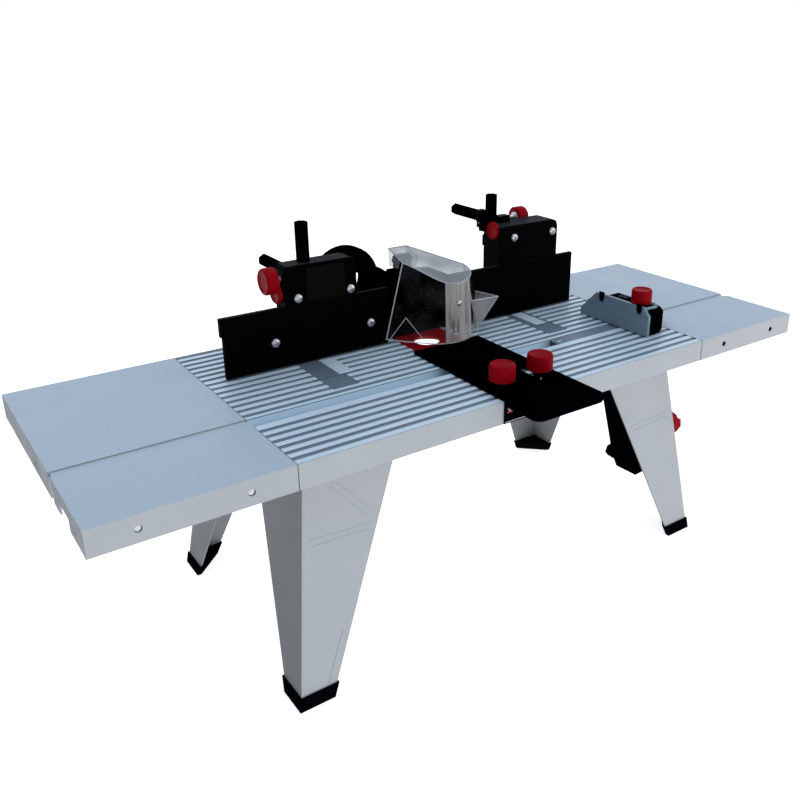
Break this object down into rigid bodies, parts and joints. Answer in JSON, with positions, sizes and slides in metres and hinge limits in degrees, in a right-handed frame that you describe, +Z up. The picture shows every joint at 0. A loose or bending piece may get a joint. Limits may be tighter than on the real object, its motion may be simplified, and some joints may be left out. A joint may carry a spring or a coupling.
{
  "type": "router table",
  "caption": "Benchtop router table with ribbed aluminium top, folded steel wings, splayed legs, sliding fence with clear bit guard, red clamp knobs and mitre gauge.",
  "frame": {"origin": "on the floor under the middle of the bounding box", "axes": "+X along the length of the table to the right, +Y from the front edge towards the fence, +Z up"},
  "size_m": [0.85, 0.3468, 0.4025],
  "materials": {
    "ribbed_aluminium": "extruded, satin",
    "painted_steel": "semi-gloss",
    "foot_rubber": "matte",
    "red_insert": "semi-gloss",
    "red_knob": "semi-gloss",
    "clear_guard": "polished, clear",
    "steel": "brushed",
    "mitre_aluminium": "satin",
    "green_button": "semi-gloss",
    "fence_black": "fine satin texture",
    "black_plastic": "satin"
  },
  "bodies": {
    "table": {"table_top": "ribbed_aluminium", "front_apron": "painted_steel", "rear_apron": "painted_steel", "left_rail": "painted_steel", "right_rail": "painted_steel", "left_wing": "painted_steel", "right_wing": "painted_steel", "front_left_leg": "painted_steel", "front_left_foot": "foot_rubber", "front_right_leg": "painted_steel", "front_right_foot": "foot_rubber", "rear_left_leg": "painted_steel", "rear_left_foot": "foot_rubber", "rear_right_leg": "painted_steel", "rear_right_foot": "foot_rubber", "insert_plate": "red_insert", "router_mounting_plate": "black_plastic", "name_plate": "black_plastic", "switch_housing": "black_plastic", "cable_gland": "black_plastic", "switch_plate": "black_plastic"},
    "work_support": {"work_support": "black_plastic"},
    "fence": {"fence_base": "fence_black", "left_guide_block": "fence_black", "right_guide_block": "fence_black", "dust_hood": "black_plastic", "dust_port": "black_plastic", "guard_bracket": "black_plastic", "guard_pin": "steel"},
    "left_board": {"left_fence_board": "fence_black"},
    "right_board": {"right_fence_board": "fence_black"},
    "guard": {"bit_guard": "clear_guard"},
    "left_post": {"left_post": "black_plastic"},
    "left_arm": {"left_arm": "black_plastic"},
    "right_post": {"right_post": "black_plastic"},
    "right_arm": {"right_arm": "black_plastic"},
    "mitre_bar": {"mitre_bar": "steel"},
    "mitre_head": {"mitre_head": "black_plastic"},
    "mitre_face": {"mitre_face": "mitre_aluminium", "mitre_clip_rear": "black_plastic", "mitre_clip_front": "black_plastic"},
    "stop_paddle": {"stop_paddle": "red_knob"},
    "start_button": {"start_button": "green_button"},
    "support_knob_left": {"support_knob_left": "red_knob"},
    "support_knob_right": {"support_knob_right": "red_knob"},
    "fence_knob_left": {"fence_knob_left": "red_knob"},
    "fence_knob_right": {"fence_knob_right": "red_knob"},
    "left_post_knob": {"left_post_knob": "red_knob"},
    "left_arm_knob": {"left_arm_knob": "red_knob"},
    "right_post_knob": {"right_post_knob": "red_knob"},
    "right_arm_knob": {"right_arm_knob": "red_knob"},
    "mitre_knob": {"mitre_knob": "red_knob"}
  },
  "joints": [
    {"name": "work_support_slide", "type": "slide", "parent": "table", "child": "work_support", "axis": [0, -1, 0], "range_m": [0, 0.022]},
    {"name": "fence_slide", "type": "slide", "parent": "table", "child": "fence", "axis": [0, 1, 0], "range_m": [-0.012, 0.015]},
    {"name": "left_board_slide", "type": "slide", "parent": "fence", "child": "left_board", "axis": [-1, 0, 0], "range_m": [0, 0.024]},
    {"name": "right_board_slide", "type": "slide", "parent": "fence", "child": "right_board", "axis": [1, 0, 0], "range_m": [0, 0.024]},
    {"name": "guard_hinge", "type": "hinge", "parent": "fence", "child": "guard", "pos_m": [-0.008, 0.10115, 0.342], "axis": [-1, 0, 0], "range_deg": [0, 80]},
    {"name": "left_post_slide", "type": "slide", "parent": "fence", "child": "left_post", "axis": [0, 0, 1], "range_m": [0, 0.03]},
    {"name": "left_arm_slide", "type": "slide", "parent": "fence", "child": "left_arm", "axis": [0, 1, 0], "range_m": [0, 0.008]},
    {"name": "right_post_slide", "type": "slide", "parent": "fence", "child": "right_post", "axis": [0, 0, 1], "range_m": [0, 0.02]},
    {"name": "right_arm_slide", "type": "slide", "parent": "fence", "child": "right_arm", "axis": [0, 1, 0], "range_m": [0, 0.006]},
    {"name": "mitre_slide", "type": "slide", "parent": "table", "child": "mitre_bar", "axis": [1, 0, 0], "range_m": [-0.11, 0.004]},
    {"name": "mitre_swivel", "type": "hinge", "parent": "mitre_bar", "child": "mitre_head", "pos_m": [0.224, -0.02665, 0.26], "axis": [0, 0, 1], "range_deg": [-60, 60]},
    {"name": "mitre_face_slide", "type": "slide", "parent": "mitre_head", "child": "mitre_face", "axis": [0, 1, 0], "range_m": [-0.008, 0.008]},
    {"name": "stop_paddle_hinge", "type": "hinge", "parent": "table", "child": "stop_paddle", "pos_m": [0.25858, -0.06585, 0.15069], "axis": [0, 1, 0], "range_deg": [-70, 5], "stiffness_Nm_per_rad": 0.1},
    {"name": "start_button_press", "type": "slide", "parent": "table", "child": "start_button", "axis": [-0.9899, 0, -0.1415], "range_m": [0, 0.002], "stiffness_N_per_m": 150},
    {"name": "support_knob_left_turn", "type": "hinge", "parent": "table", "child": "support_knob_left", "pos_m": [-0.0219, -0.09935, 0.27], "axis": [0, 0, 1], "continuous": true},
    {"name": "support_knob_right_turn", "type": "hinge", "parent": "table", "child": "support_knob_right", "pos_m": [0.0273, -0.09935, 0.27], "axis": [0, 0, 1], "continuous": true},
    {"name": "fence_knob_left_turn", "type": "hinge", "parent": "fence", "child": "fence_knob_left", "pos_m": [-0.175, 0.13515, 0.27], "axis": [0, 0, 1], "continuous": true},
    {"name": "fence_knob_right_turn", "type": "hinge", "parent": "fence", "child": "fence_knob_right", "pos_m": [0.175, 0.13515, 0.27], "axis": [0, 0, 1], "continuous": true},
    {"name": "left_post_knob_turn", "type": "hinge", "parent": "fence", "child": "left_post_knob", "pos_m": [-0.169, 0.09185, 0.3315], "axis": [1, 0, 0], "continuous": true},
    {"name": "left_arm_knob_turn", "type": "hinge", "parent": "fence", "child": "left_arm_knob", "pos_m": [-0.178, 0.08715, 0.347], "axis": [1, 0, 0], "continuous": true},
    {"name": "right_post_knob_turn", "type": "hinge", "parent": "fence", "child": "right_post_knob", "pos_m": [0.1147, 0.09065, 0.3605], "axis": [1, 0, 0], "continuous": true},
    {"name": "right_arm_knob_turn", "type": "hinge", "parent": "fence", "child": "right_arm_knob", "pos_m": [0.1815, 0.12235, 0.3645], "axis": [1, 0, 0], "continuous": true},
    {"name": "mitre_knob_turn", "type": "hinge", "parent": "mitre_head", "child": "mitre_knob", "pos_m": [0.2235, -0.05435, 0.295], "axis": [0, 0, 1], "continuous": true}
  ]
}
